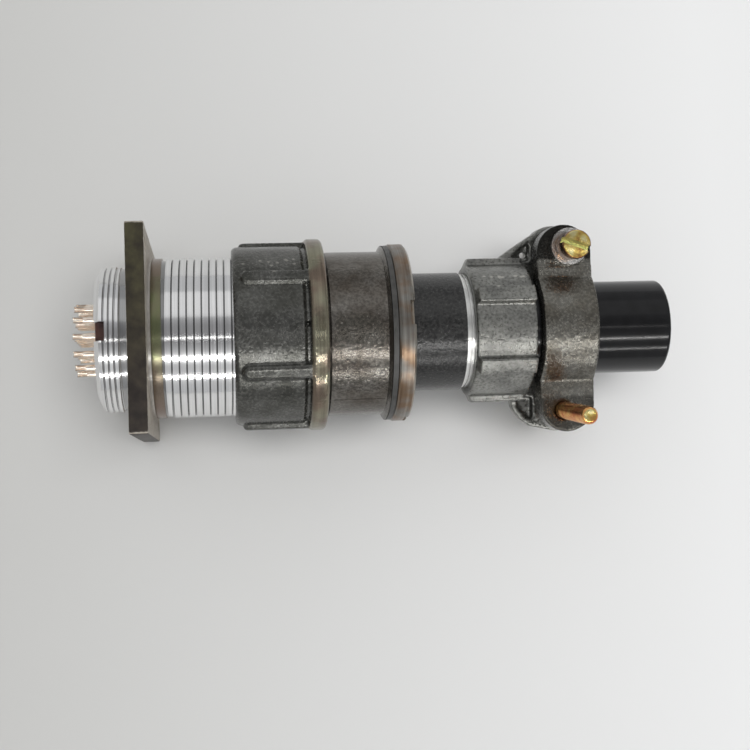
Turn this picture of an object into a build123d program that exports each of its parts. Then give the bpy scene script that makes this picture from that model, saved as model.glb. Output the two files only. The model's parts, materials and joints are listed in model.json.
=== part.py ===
from build123d import *

import os
from math import cos, radians, sin

# Circular connector pair, mated: a square-flange receptacle and a cable plug with a
# screwed coupling nut, a rear tube and a two-screw cable clamp with a rubber bushing.
# Millimetres. X runs along the connector, from the flange towards the cable, and the
# origin is the centre of the flange's seating face. Z points away from the bench.
os.makedirs("parts", exist_ok=True)

# Fits and clearances
fit_gap = 0.05              # radial play of a piece fixed in its seat
seat_gap = 0.1              # axial play between pieces that only meet end to end
running_gap = 0.3           # play between pieces that turn or slide on each other
saddle_gap = 0.15           # between the moving saddle and the bushing

# Receptacle shell
flange_side = 39.4
flange_thickness = 3.5
flange_corner = 0.7
mount_pitch = 31.2
mount_hole = 3.8
neck_width = 0.6
neck_diameter = 30.9
coupling_diameter = 31.75   # over the crests of the coupling thread
coupling_lead = 0.8         # chamfer at the mouth
barrel_end = 30.5           # mouth of the receptacle, from the seating face
mouth_depth = 9.3
mouth_wall = 2.3            # from the mouth's bore to the thread's crests
mouth_lead = 0.4
rear_diameter = 28.9        # over the crests of the rear thread
rear_length = 6.6
rear_lead = 1.4
relief_width = 1.75
relief_diameter = 26.8
shoulder_width = 0.3        # at the foot of the relief, against the flange
shoulder_diameter = 29.4
rear_wall = 2.1             # from the insert's bore to the thread's crests
rim_slot_width = 3.6
rim_slot_depth = 2.1
keyway_depth = 0.9
keyway_bottom_gap = 0.4     # from the gasket's seat to the keyways' ends
main_key_width = 3.0
minor_key_width = 1.8
main_key_angle = 0
minor_key_angles = (75, 130, 215, 290)

# Receptacle insert, gasket and contacts
insert_inset = 1.0          # rear face of the insert, inside the rear rim
insert_lip_width = 1.2      # lip of the shell that stops the insert
insert_lip_height = 0.8
gasket_width = 0.8
inner_ring_count = 6
inner_ring_radius = 3.4
outer_ring_count = 12
outer_ring_radius = 6.6
tail_diameter = 1.25
tail_length = 4.6           # past the rear rim
cup_bore = 0.8
cup_depth = 2.2
pin_diameter = 1.0
pin_reach = 7.2             # past the insert's front face
pin_lead = 0.3
socket_diameter = 1.7
socket_bore = 1.3
socket_lead_in = 0.7        # front of a socket, inside its insert
socket_depth = 9.0
socket_end = 43.5

# Coupling nut and the ring that holds it
nut_front = 19.5
nut_end = 37.4
nut_diameter = 35.7
nut_front_radius = 1.1
nut_mouth_lead = 0.4
nut_rim_diameter = 38.5
nut_rim_width = 3.4
nut_rim_chamfer = 0.5
nut_groove_width = 1.1
nut_groove_depth = 0.5
nut_lip_width = 3.9
nut_rib_count = 6
nut_rib_width = 2.8
nut_rib_height = 1.05
nut_rib_inset = 1.5         # from the nut's front to the ribs
nut_rib_edge = 0.7
nut_rib_angle = 31          # of one rib, from +Z towards +Y
wire_hole = 1.0
wire_hole_depth = 1.6
retaining_ring_width = 1.2
retaining_ring_height = 2.1
retaining_groove_depth = 0.6
retaining_ring_split = 2.5

# Plug shell and insert
plug_wall = 1.5
plug_front_lead = 0.3
key_length = 4.5
key_side_gap = 0.3
nut_to_barrel = 0.55
barrel_diameter = 33.0
flare_start = 48.9
flare_end = 49.5
flare_diameter = 35.2
barrel_cavity_start = 41.2
barrel_cavity_wall = 1.75
plug_insert_flange_width = 2.6
plug_insert_flange_height = 1.0

# Rear tube, sealing ring and lock ring
tube_diameter = 23.9
tube_bore = 19.0
tube_end = 65.1             # where the black finish ends
tube_flange_width = 2.0
tube_thread_diameter = 23.2
tube_thread_end = 74.0
tube_groove_start = 65.7
tube_groove_width = 0.35
tube_groove_depth = 0.4
sealing_ring_width = 1.0
sealing_ring_diameter = 35.4
lock_ring_diameter = 35.9
lock_ring_width = 3.3
lock_ring_chamfer = 0.4
notch_count = 4
notch_width = 4.7
notch_depth = 1.0
notch_height = 2.4
notch_angle = 5.6           # of one notch, from +Z towards +Y

# Cable clamp body
clamp_turn = 7              # of the whole clamp about the axis, from +Z towards -Y
collar_front = 66.7
collar_rear = 78.8
collar_wall = 1.75
collar_lead = 0.5
collar_floor = 2.0
collar_opening = 17.4
collar_rib_count = 6
collar_rib_angle = 30
collar_rib_width = 3.5
collar_rib_height = 1.35
collar_rib_lead = 0.8
cradle_start = 80.3
cradle_width = 11.1
cradle_wall = 2.9
ear_margin = 4.4            # of the saddle's ears, past a screw's axis
lower_ear_margin = 4.9
saddle_wall = 3.7
saddle_bottom = 3.7
ear_top = 8.1
seat_depth = 0.4            # of the milled seat under the upper washer
seat_start = 12.6
lower_ear_top = -0.6
lower_ear_bottom = -4.4
web_thickness = 2.6
web_pocket_depth = 1.6
web_root = 12.0             # where the webs start, inside the collar's wall
web_corners = ((72.6, 13.2), (74.6, 15.0), (77.4, 16.9), (81.4, 19.4))
web_pocket = ((76.8, 14.1), (78.4, 16.3), (80.9, 17.9), (80.9, 14.1))
far_web_corners = ((75.8, 12.6), (76.6, 16.5), (78.3, 18.7), (80.3, 20.2))
far_web_pocket = ((77.6, 14.1), (77.8, 16.1), (79.3, 18.0), (80.9, 18.9), (80.9, 14.1))
web_hole_diameter = 1.3
web_hole_x = 79.9
web_hole_y = 15.4

# Clamp screws and washers
screw_spread = 32.8
screw_skew = 0.85           # of each screw's axis from the ears' middle
screw_diameter = 3.5
screw_hole = 4.2            # under a head
tapped_hole = 3.6
screw_head_diameter = 5.7
screw_head_height = 5.2
screw_head_edge = 0.4
screw_slot_width = 1.1
screw_slot_depth = 1.8
screw_slot_angle = -20
screw_stand = 17.6          # of a shank past the far ear
screw_tip_lead = 0.5
washer_diameter = 7.4
washer_thickness = 1.0
washer_bore = 3.8
washer_split = 0.7

# Cable bushing
bushing_diameter = 19.05
bushing_bore = 15.9
bushing_front = 79.0
bushing_end = 107.6
bushing_edge = 0.7
bushing_flange_diameter = 22.0
bushing_flange_width = 1.1
link_wall = 1.8             # of the half ring between the collar and the cradle

# Radii and stations that follow
coupling_radius = coupling_diameter / 2
rear_radius = rear_diameter / 2
insert_bore = rear_radius - rear_wall
insert_rear = insert_inset - rear_length
mouth_radius = coupling_radius - mouth_wall
mouth_start = barrel_end - mouth_depth
insert_lip_start = mouth_start - insert_lip_width
insert_lip_radius = insert_bore - insert_lip_height
keyway_radius = mouth_radius + keyway_depth
keyway_start = mouth_start + gasket_width + keyway_bottom_gap
plug_radius = mouth_radius - running_gap
plug_bore = plug_radius - plug_wall
plug_front = mouth_start + gasket_width + running_gap
nut_bore = coupling_radius + running_gap
nut_radius = nut_diameter / 2
nut_rim_radius = nut_rim_diameter / 2
nut_rim_start = nut_end - nut_rim_width
nut_groove_start = nut_rim_start - nut_groove_width
nut_lip_start = nut_end - nut_lip_width
nut_lip_bore = plug_radius + running_gap
retaining_end = nut_lip_start - seat_gap
retaining_start = retaining_end - retaining_ring_width
retaining_bore = plug_radius - retaining_groove_depth + fit_gap
barrel_front = nut_end + nut_to_barrel
barrel_radius = barrel_diameter / 2
cavity_radius = barrel_radius - barrel_cavity_wall
plug_insert_radius = plug_bore - fit_gap
plug_insert_front = mouth_start + running_gap
insert_flange_end = barrel_cavity_start
insert_flange_start = insert_flange_end - plug_insert_flange_width
insert_flange_radius = plug_bore + plug_insert_flange_height
tube_radius = tube_diameter / 2
tube_flange_start = insert_flange_end + seat_gap
tube_flange_end = tube_flange_start + tube_flange_width
sealing_start = flare_end + seat_gap
sealing_end = sealing_start + sealing_ring_width
lock_ring_start = sealing_end + seat_gap
lock_ring_end = lock_ring_start + lock_ring_width
lock_ring_radius = lock_ring_diameter / 2
spigot_radius = cavity_radius - fit_gap
spigot_bore = tube_radius + running_gap
tube_thread_radius = tube_thread_diameter / 2
collar_bore = tube_thread_radius + fit_gap
collar_radius = collar_bore + collar_wall
collar_rib_radius = collar_radius + collar_rib_height
bushing_radius = bushing_diameter / 2
cradle_end = cradle_start + cradle_width
cradle_middle = cradle_start + cradle_width / 2
cradle_radius = bushing_radius + cradle_wall
saddle_bore = bushing_radius + saddle_gap
saddle_radius = saddle_bore + saddle_wall
screw_y = screw_spread / 2
screw_spots = ((cradle_middle + screw_skew, screw_y), (cradle_middle - screw_skew, -screw_y))
clamp_frame = Plane.XY.rotated((clamp_turn, 0, 0))
ear_reach = screw_y + ear_margin
lower_ear_reach = screw_y + lower_ear_margin
shank_length = screw_stand + ear_top + seat_depth - lower_ear_bottom + washer_thickness
keyways = [(main_key_angle, main_key_width)] + [(angle, minor_key_width) for angle in minor_key_angles]
contact_rings = [(1, 0), (inner_ring_count, inner_ring_radius), (outer_ring_count, outer_ring_radius)]
tail_tip = -rear_length - tail_length
contacts = [
    (radius * sin(radians(360 / count * step)), radius * cos(radians(360 / count * step)))
    for count, radius in contact_rings
    for step in range(count)
]


def facing(angle, radius=0.0):
    # A plane that looks outwards at an angle from +Z towards +Y, with its x along the axis.
    outward = Vector(0, sin(radians(angle)), cos(radians(angle)))
    return Plane(origin=outward * radius, x_dir=(1, 0, 0), z_dir=outward)


def turn(*points, centre=(0, 0), mode=Mode.ADD):
    # A solid turned about a line along X, from an outline of (station, radius) points.
    with BuildSketch(Plane((0, *centre))) as outline:
        Polygon(*points, align=None)
    revolve(outline.sketch, axis=Axis((0, *centre), (1, 0, 0)), mode=mode)


def tube(start, end, outer, inner):
    # A plain ring or sleeve.
    turn((start, inner), (start, outer), (end, outer), (end, inner))


# Receptacle shell: square flange, rear thread, coupling thread and keyed mouth
with BuildPart() as receptacle_shell:
    turn(
        (-rear_length, 0),
        (-rear_length, rear_radius - rear_lead),
        (rear_lead - rear_length, rear_radius),
        (-relief_width, rear_radius),
        (-relief_width, relief_diameter / 2),
        (-shoulder_width, relief_diameter / 2),
        (-shoulder_width, shoulder_diameter / 2),
        (0, shoulder_diameter / 2),
        (0, neck_diameter / 2),
        (flange_thickness + neck_width, neck_diameter / 2),
        (flange_thickness + neck_width, coupling_radius),
        (barrel_end - coupling_lead, coupling_radius),
        (barrel_end, coupling_radius - coupling_lead),
        (barrel_end, 0),
    )
    with BuildSketch(Plane.YZ):
        RectangleRounded(flange_side, flange_side, flange_corner)
    extrude(amount=flange_thickness)
    turn(
        (-rear_length, 0),
        (-rear_length, insert_bore),
        (insert_lip_start, insert_bore),
        (insert_lip_start, insert_lip_radius),
        (mouth_start, insert_lip_radius),
        (mouth_start, mouth_radius),
        (barrel_end - mouth_lead, mouth_radius),
        (barrel_end, mouth_radius + mouth_lead),
        (barrel_end, 0),
        mode=Mode.SUBTRACT,
    )
    with BuildSketch(Plane.YZ):
        with GridLocations(mount_pitch, mount_pitch, 2, 2):
            Circle(mount_hole / 2)
    extrude(amount=flange_thickness, mode=Mode.SUBTRACT)
    for angle, width in keyways:
        with BuildSketch(facing(angle)):
            with Locations(((keyway_start + barrel_end) / 2, 0)):
                Rectangle(barrel_end - keyway_start, width)
        extrude(amount=keyway_radius, mode=Mode.SUBTRACT)
    with BuildSketch(facing(0)):
        with Locations((rim_slot_depth / 2 - rear_length, 0)):
            Rectangle(rim_slot_depth, rim_slot_width)
    extrude(amount=rear_radius, mode=Mode.SUBTRACT)
receptacle_shell.part.label = "receptacle_shell"
export_step(receptacle_shell.part, "parts/receptacle_shell.step")

# Receptacle insert: moulded disc with a hole for each contact
with BuildPart() as receptacle_insert:
    turn(
        (insert_rear, 0),
        (insert_rear, insert_bore - fit_gap),
        (insert_lip_start, insert_bore - fit_gap),
        (insert_lip_start, insert_lip_radius - fit_gap),
        (mouth_start, insert_lip_radius - fit_gap),
        (mouth_start, 0),
    )
    with BuildSketch(Plane.YZ.offset(insert_rear)):
        with Locations(*contacts):
            Circle(tail_diameter / 2)
    extrude(amount=mouth_start - insert_rear, mode=Mode.SUBTRACT)
receptacle_insert.part.label = "receptacle_insert"
export_step(receptacle_insert.part, "parts/receptacle_insert.step")

# Pin contacts: solder cup at the rear, pin at the front
for number, centre in enumerate(contacts, start=1):
    with BuildPart() as pin_contact:
        turn(
            (tail_tip + cup_depth, 0),
            (tail_tip + cup_depth, cup_bore / 2),
            (tail_tip, cup_bore / 2),
            (tail_tip, tail_diameter / 2),
            (mouth_start, tail_diameter / 2),
            (mouth_start, pin_diameter / 2),
            (mouth_start + pin_reach - pin_lead, pin_diameter / 2),
            (mouth_start + pin_reach, pin_diameter / 2 - pin_lead),
            (mouth_start + pin_reach, 0),
            centre=centre,
        )
    pin_contact.part.label = f"pin_contact_{number:02}"
    export_step(pin_contact.part, f"parts/pin_contact_{number:02}.step")

# Interface gasket: flat rubber ring at the bottom of the mouth
with BuildPart() as interface_gasket:
    tube(mouth_start, mouth_start + gasket_width, mouth_radius - fit_gap, plug_bore + running_gap)
interface_gasket.part.label = "interface_gasket"
export_step(interface_gasket.part, "parts/interface_gasket.step")

# Coupling nut: one casting with six ribs, a turned rim and an inner lip
with BuildPart() as coupling_nut:
    turn(
        (nut_front, 0),
        (nut_front, nut_radius),
        (nut_groove_start, nut_radius),
        (nut_groove_start, nut_radius - nut_groove_depth),
        (nut_rim_start, nut_radius - nut_groove_depth),
        (nut_rim_start, nut_radius),
        (nut_end, nut_radius),
        (nut_end, 0),
    )
    fillet(coupling_nut.edges().group_by(Axis.X)[0], nut_front_radius)
    rib_start = nut_front + nut_rib_inset
    rib_end = nut_rim_start + nut_rim_width / 2
    for step in range(nut_rib_count):
        angle = nut_rib_angle + step * 360 / nut_rib_count
        with BuildSketch(facing(angle)):
            with Locations(((rib_start + rib_end) / 2, 0)):
                Rectangle(rib_end - rib_start, nut_rib_width)
            fillet(vertices().sort_by(Axis.X)[:2], nut_rib_width / 2 - fit_gap)
        extrude(amount=nut_radius + nut_rib_height)
        rib_top = facing(angle, nut_radius + nut_rib_height)
        top_edges = [edge for edge in edges() if abs(rib_top.to_local_coords(edge.center()).Z) < fit_gap]
        fillet(top_edges, nut_rib_edge)
    turn(
        (nut_rim_start, 0),
        (nut_rim_start, nut_rim_radius - nut_rim_chamfer),
        (nut_rim_start + nut_rim_chamfer, nut_rim_radius),
        (nut_end - nut_rim_chamfer, nut_rim_radius),
        (nut_end, nut_rim_radius - nut_rim_chamfer),
        (nut_end, 0),
    )
    turn(
        (nut_front, 0),
        (nut_front, nut_bore + nut_mouth_lead),
        (nut_front + nut_mouth_lead, nut_bore),
        (nut_lip_start, nut_bore),
        (nut_lip_start, nut_lip_bore),
        (nut_end, nut_lip_bore),
        (nut_end, 0),
        mode=Mode.SUBTRACT,
    )
    with BuildSketch(facing(0, nut_radius)):
        with Locations((nut_groove_start + nut_groove_width / 2, 0)):
            Circle(wire_hole / 2)
    extrude(amount=-wire_hole_depth, mode=Mode.SUBTRACT)
coupling_nut.part.label = "coupling_nut"
export_step(coupling_nut.part, "parts/coupling_nut.step")

# Retaining ring: split ring in the plug's groove, behind which the nut turns
with BuildPart() as nut_retaining_ring:
    tube(retaining_start, retaining_end, retaining_bore + retaining_ring_height, retaining_bore)
    with BuildSketch(facing(180)):
        with Locations(((retaining_start + retaining_end) / 2, 0)):
            Rectangle(retaining_ring_width, retaining_ring_split)
    extrude(amount=nut_radius, mode=Mode.SUBTRACT)
nut_retaining_ring.part.label = "nut_retaining_ring"
export_step(nut_retaining_ring.part, "parts/nut_retaining_ring.step")

# Plug shell: keyed front barrel, cast rear barrel and the cavity for the lock ring
with BuildPart() as plug_shell:
    turn(
        (plug_front, plug_bore),
        (plug_front, plug_radius - plug_front_lead),
        (plug_front + plug_front_lead, plug_radius),
        (retaining_start, plug_radius),
        (retaining_start, plug_radius - retaining_groove_depth),
        (retaining_end, plug_radius - retaining_groove_depth),
        (retaining_end, plug_radius),
        (barrel_front, plug_radius),
        (barrel_front, barrel_radius),
        (flare_start, barrel_radius),
        (flare_end, flare_diameter / 2),
        (flare_end, cavity_radius),
        (barrel_cavity_start, cavity_radius),
        (barrel_cavity_start, insert_flange_radius),
        (insert_flange_start, insert_flange_radius),
        (insert_flange_start, plug_bore),
    )
    for angle, width in keyways:
        with BuildSketch(facing(angle, (plug_bore + plug_radius) / 2)):
            with Locations((keyway_start + running_gap + key_length / 2, 0)):
                Rectangle(key_length, width - 2 * key_side_gap)
        extrude(amount=keyway_radius - running_gap - (plug_bore + plug_radius) / 2)
plug_shell.part.label = "plug_shell"
export_step(plug_shell.part, "parts/plug_shell.step")

# Plug insert: moulded plug with a flange, held by the rear tube
with BuildPart() as plug_insert:
    turn(
        (plug_insert_front, 0),
        (plug_insert_front, plug_insert_radius),
        (insert_flange_start, plug_insert_radius),
        (insert_flange_start, insert_flange_radius - fit_gap),
        (insert_flange_end, insert_flange_radius - fit_gap),
        (insert_flange_end, 0),
    )
    with BuildSketch(Plane.YZ.offset(plug_insert_front)):
        with Locations(*contacts):
            Circle(socket_diameter / 2)
    extrude(amount=insert_flange_end - plug_insert_front, mode=Mode.SUBTRACT)
plug_insert.part.label = "plug_insert"
export_step(plug_insert.part, "parts/plug_insert.step")

# Socket contacts: nineteen sleeves in the plug insert, one for each pin
with BuildPart() as socket_contacts:
    for centre in contacts:
        turn(
            (plug_insert_front + socket_lead_in, socket_bore / 2),
            (plug_insert_front + socket_lead_in, socket_diameter / 2),
            (socket_end, socket_diameter / 2),
            (socket_end, 0),
            (plug_insert_front + socket_depth, 0),
            (plug_insert_front + socket_depth, socket_bore / 2),
            centre=centre,
        )
socket_contacts.part.label = "socket_contacts"
export_step(socket_contacts.part, "parts/socket_contacts.step")

# Sealing ring between the barrel and the lock ring
with BuildPart() as sealing_ring:
    tube(sealing_start, sealing_end, sealing_ring_diameter / 2, spigot_radius + fit_gap)
sealing_ring.part.label = "sealing_ring"
export_step(sealing_ring.part, "parts/sealing_ring.step")

# Lock ring: knurl-free ring with four spanner notches and a spigot into the barrel
with BuildPart() as lock_ring:
    turn(
        (tube_flange_end + seat_gap, spigot_bore),
        (tube_flange_end + seat_gap, spigot_radius),
        (lock_ring_start, spigot_radius),
        (lock_ring_start, lock_ring_radius - lock_ring_chamfer),
        (lock_ring_start + lock_ring_chamfer, lock_ring_radius),
        (lock_ring_end - lock_ring_chamfer, lock_ring_radius),
        (lock_ring_end, lock_ring_radius - lock_ring_chamfer),
        (lock_ring_end, spigot_bore),
    )
    for step in range(notch_count):
        with BuildSketch(facing(notch_angle + step * 360 / notch_count, lock_ring_radius - notch_height)):
            with Locations((lock_ring_end - notch_depth / 2, 0)):
                Rectangle(notch_depth, notch_width)
        extrude(amount=notch_height, mode=Mode.SUBTRACT)
lock_ring.part.label = "lock_ring"
export_step(lock_ring.part, "parts/lock_ring.step")

# Rear tube: flange inside the barrel, black sleeve, bare threaded end
with BuildPart() as rear_tube:
    turn(
        (tube_flange_start, tube_bore / 2),
        (tube_flange_start, cavity_radius - running_gap),
        (tube_flange_end, cavity_radius - running_gap),
        (tube_flange_end, tube_radius),
        (tube_end, tube_radius),
        (tube_end, tube_thread_radius),
        (tube_groove_start, tube_thread_radius),
        (tube_groove_start, tube_thread_radius - tube_groove_depth),
        (tube_groove_start + tube_groove_width, tube_thread_radius - tube_groove_depth),
        (tube_groove_start + tube_groove_width, tube_thread_radius),
        (tube_thread_end, tube_thread_radius),
        (tube_thread_end, tube_bore / 2),
    )
rear_tube.part.label = "rear_tube"
export_step(rear_tube.part, "parts/rear_tube.step")

# Clamp body: ribbed collar, webs, lower ears and cradle in one casting
with BuildPart() as clamp_body:
    turn((collar_front, 0), (collar_front, collar_radius), (collar_rear, collar_radius), (collar_rear, 0))
    for step in range(collar_rib_count):
        with BuildSketch(facing(collar_rib_angle - clamp_turn + step * 360 / collar_rib_count)):
            with Locations(((collar_front + collar_rear) / 2, 0)):
                Rectangle(collar_rear - collar_front, collar_rib_width)
        extrude(amount=collar_rib_radius)
    turn(
        (collar_front, 0),
        (collar_front, collar_radius - collar_lead),
        (collar_front + collar_rib_lead, collar_rib_radius),
        (collar_rear, collar_rib_radius),
        (collar_rear, 0),
        mode=Mode.INTERSECT,
    )
    turn(
        (collar_rear - link_wall, 0),
        (collar_rear - link_wall, cradle_radius),
        (cradle_end, cradle_radius),
        (cradle_end, 0),
    )
    with BuildSketch(clamp_frame.offset(lower_ear_top)):
        with Locations((cradle_middle, 0)):
            SlotOverall(2 * lower_ear_reach, cradle_width, rotation=90)
    extrude(amount=lower_ear_bottom - lower_ear_top)
    with BuildSketch(clamp_frame.offset(lower_ear_top)):
        Polygon(
            (web_corners[0][0], web_root),
            *web_corners,
            (cradle_middle, lower_ear_reach),
            (cradle_middle, web_root),
            align=None,
        )
        Polygon(
            (far_web_corners[0][0], -web_root),
            *[(x, -y) for x, y in far_web_corners],
            (cradle_middle, -lower_ear_reach),
            (cradle_middle, -web_root),
            align=None,
        )
    extrude(amount=-web_thickness)
    with BuildSketch(clamp_frame.offset(lower_ear_top)):
        Polygon(*web_pocket, align=None)
        Polygon(*[(x, -y) for x, y in far_web_pocket], align=None)
    extrude(amount=-web_pocket_depth, mode=Mode.SUBTRACT)
    with BuildSketch(clamp_frame.offset(lower_ear_top)):
        with Locations(((collar_rear + cradle_end) / 2, 0)):
            Rectangle(cradle_end - collar_rear, 2 * lower_ear_reach)
    extrude(amount=cradle_radius + ear_top, mode=Mode.SUBTRACT)
    turn(
        (collar_front, 0),
        (collar_front, collar_bore),
        (collar_rear - collar_floor, collar_bore),
        (collar_rear - collar_floor, collar_opening / 2),
        (collar_rear, collar_opening / 2),
        (collar_rear, bushing_flange_diameter / 2 + fit_gap),
        (bushing_front + bushing_flange_width + fit_gap, bushing_flange_diameter / 2 + fit_gap),
        (bushing_front + bushing_flange_width + fit_gap, bushing_radius + fit_gap),
        (cradle_end, bushing_radius + fit_gap),
        (cradle_end, 0),
        mode=Mode.SUBTRACT,
    )
    with BuildSketch(clamp_frame.offset(lower_ear_top)):
        with Locations(screw_spots[0]):
            Circle(tapped_hole / 2)
        with Locations(screw_spots[1]):
            Circle(screw_hole / 2)
        with Locations((web_hole_x, web_hole_y)):
            Circle(web_hole_diameter / 2)
    extrude(amount=lower_ear_bottom - lower_ear_top, mode=Mode.SUBTRACT)
clamp_body.part.label = "clamp_body"
export_step(clamp_body.part, "parts/clamp_body.step")

# Clamp saddle: arch with an ear for each screw
with BuildPart() as clamp_saddle:
    turn((cradle_start, 0), (cradle_start, saddle_radius), (cradle_end, saddle_radius), (cradle_end, 0))
    with BuildSketch(clamp_frame.offset(saddle_bottom)):
        with Locations((cradle_middle, 0)):
            SlotOverall(2 * ear_reach, cradle_width, rotation=90)
    extrude(amount=ear_top + seat_depth - saddle_bottom)
    turn(
        (cradle_start, 0),
        (cradle_start, saddle_bore),
        (cradle_end, saddle_bore),
        (cradle_end, 0),
        mode=Mode.SUBTRACT,
    )
    with BuildSketch(clamp_frame.offset(ear_top)):
        with Locations((cradle_middle, (seat_start + ear_reach) / 2)):
            Rectangle(cradle_width, ear_reach - seat_start)
    extrude(amount=seat_depth, mode=Mode.SUBTRACT)
    with BuildSketch(clamp_frame.offset(saddle_bottom)):
        with Locations((cradle_middle, 0)):
            Rectangle(cradle_width, 2 * ear_reach)
    extrude(amount=-saddle_radius - saddle_bottom, mode=Mode.SUBTRACT)
    with BuildSketch(clamp_frame.offset(saddle_bottom)):
        with Locations(screw_spots[0]):
            Circle(screw_hole / 2)
        with Locations(screw_spots[1]):
            Circle(tapped_hole / 2)
    extrude(amount=ear_top + seat_depth - saddle_bottom, mode=Mode.SUBTRACT)
clamp_saddle.part.label = "clamp_saddle"
export_step(clamp_saddle.part, "parts/clamp_saddle.step")

# Clamp screws and their split washers: one from above, one from below
seats = (("top", screw_spots[0], ear_top, 1), ("bottom", screw_spots[1], lower_ear_bottom, -1))
for name, spot, seat, up in seats:
    seat_centre = clamp_frame.from_local_coords((*spot, seat))
    seat_plane = Plane(origin=seat_centre, x_dir=(1, 0, 0), z_dir=clamp_frame.z_dir * up)
    with BuildPart() as lock_washer:
        with BuildSketch(seat_plane):
            Circle(washer_diameter / 2)
            Circle(washer_bore / 2, mode=Mode.SUBTRACT)
            with Locations((washer_diameter / 2, 0)):
                Rectangle(washer_diameter, washer_split, mode=Mode.SUBTRACT)
        extrude(amount=washer_thickness)
    lock_washer.part.label = f"lock_washer_{name}"
    export_step(lock_washer.part, f"parts/lock_washer_{name}.step")

    head_plane = seat_plane.offset(washer_thickness)
    with BuildPart() as clamp_screw:
        with BuildSketch(head_plane):
            Circle(screw_head_diameter / 2)
        extrude(amount=screw_head_height)
        fillet(clamp_screw.edges().sort_by(Axis.Z, reverse=up > 0)[0], screw_head_edge)
        with BuildSketch(head_plane.offset(screw_head_height)):
            Rectangle(screw_head_diameter, screw_slot_width, rotation=screw_slot_angle)
        extrude(amount=-screw_slot_depth, mode=Mode.SUBTRACT)
        with BuildSketch(head_plane):
            Circle(screw_diameter / 2)
        extrude(amount=-shank_length)
        chamfer(clamp_screw.edges().sort_by(Axis.Z, reverse=up < 0)[0], screw_tip_lead)
    clamp_screw.part.label = f"clamp_screw_{name}"
    export_step(clamp_screw.part, f"parts/clamp_screw_{name}.step")

# Cable bushing: rubber sleeve with a flange behind the collar
with BuildPart() as cable_bushing:
    turn(
        (bushing_front, bushing_bore / 2),
        (bushing_front, bushing_flange_diameter / 2),
        (bushing_front + bushing_flange_width, bushing_flange_diameter / 2),
        (bushing_front + bushing_flange_width, bushing_radius),
        (bushing_end, bushing_radius),
        (bushing_end, bushing_bore / 2),
    )
    fillet(cable_bushing.edges().group_by(Axis.X)[-1].sort_by(SortBy.RADIUS)[-1], bushing_edge)
cable_bushing.part.label = "cable_bushing"
export_step(cable_bushing.part, "parts/cable_bushing.step")
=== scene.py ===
# Threaded circular connector: a square-flange receptacle mated to a cable plug, lying on a
# pale bench and seen from above. Sizes of the connector are written in millimetres, and the
# meshes are in metres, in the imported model's frame.
import json
from math import cos, pi, radians, sin

import bmesh
import bpy
from mathutils import Euler, Matrix, Vector, noise


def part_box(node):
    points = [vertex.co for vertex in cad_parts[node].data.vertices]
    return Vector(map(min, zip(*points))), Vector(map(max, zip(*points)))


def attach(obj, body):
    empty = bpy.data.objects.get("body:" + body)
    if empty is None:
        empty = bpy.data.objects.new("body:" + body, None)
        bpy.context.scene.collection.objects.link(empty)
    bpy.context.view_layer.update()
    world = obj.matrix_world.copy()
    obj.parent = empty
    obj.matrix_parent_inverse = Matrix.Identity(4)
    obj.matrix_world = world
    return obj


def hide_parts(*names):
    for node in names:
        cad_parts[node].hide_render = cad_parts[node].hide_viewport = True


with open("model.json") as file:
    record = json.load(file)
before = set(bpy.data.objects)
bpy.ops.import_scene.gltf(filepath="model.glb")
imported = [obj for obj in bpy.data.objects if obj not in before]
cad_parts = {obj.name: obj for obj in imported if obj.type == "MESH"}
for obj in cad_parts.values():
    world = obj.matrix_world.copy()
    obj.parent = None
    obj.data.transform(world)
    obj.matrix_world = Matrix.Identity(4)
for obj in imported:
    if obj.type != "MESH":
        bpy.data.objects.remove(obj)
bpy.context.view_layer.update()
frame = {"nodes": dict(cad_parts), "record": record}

mm = 0.001

# Bench
# A matt pale bench top, painted darker towards the flange's end as shade. The connector lies
# on it by the flange's lower edge and by the tip of the upper clamp screw, which stands out below the clamp.
bench_reach = 1.5                       # metres, from the middle to each side
bench_shaded_colour = (0.56, 0.56, 0.55)         # colour at the flange's end, darkened as painted shade
bench_lit_colour = (0.84, 0.845, 0.85)         # colour at the cable's end, without the painted shade
# where the painted shade on the bench is full, and where it has gone
bench_shaded_x, bench_lit_x = -30, 130
bench_cloud, bench_wander = 60, 6       # size of a cloud, and how far it pushes the colours
flange_thickness = 3.5
flange_middle = flange_thickness / 2 * mm
shell_low, shell_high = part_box("receptacle_shell")
tip_low, tip_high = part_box("clamp_screw_top")
bench_slope = (tip_low.z - shell_low.z) / ((tip_low.x + tip_high.x) / 2 - flange_middle)


def bench_height(x):
    return shell_low.z + bench_slope * (x - flange_middle)


def link(piece):
    bpy.context.scene.collection.objects.link(piece)
    return piece


def fill(tree, node, sockets):
    # Links, lists of links, colours or plain values, each into the node's socket of that label.
    for label, value in sockets.items():
        socket = node.inputs[label]
        sources = value if isinstance(value, list) else [value]
        if isinstance(sources[0], bpy.types.NodeSocket):
            for source in sources:
                tree.links.new(source, socket)
        elif socket.type == "RGBA":
            socket.default_value = (*value, 1)
        else:
            socket.default_value = value


def node_adder(tree, family=""):
    # A short way to add a node to a tree, with its settings and what goes into its sockets.
    def add(kind, sockets=None, **settings):
        node = tree.nodes.new(family + kind)
        for label, value in settings.items():
            setattr(node, label, value)
        fill(tree, node, sockets or {})
        return node

    return add


def finish_kit(name):
    # A new material, a way to add nodes to it, and a way to fill its shader's sockets.
    finish = bpy.data.materials.new(name)
    finish.use_nodes = True
    tree = finish.node_tree

    def skin(**sockets):
        labelled = {label.replace("_", " "): value for label, value in sockets.items()}
        fill(tree, tree.nodes["Principled BSDF"], labelled)

    return finish, node_adder(tree, "ShaderNode"), skin


def place_on(add, axis):
    # How far along the piece's X, Y or Z a point lies, in metres.
    return add("SeparateXYZ", {"Vector": add("TexCoord").outputs["Object"]}).outputs[axis]


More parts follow.
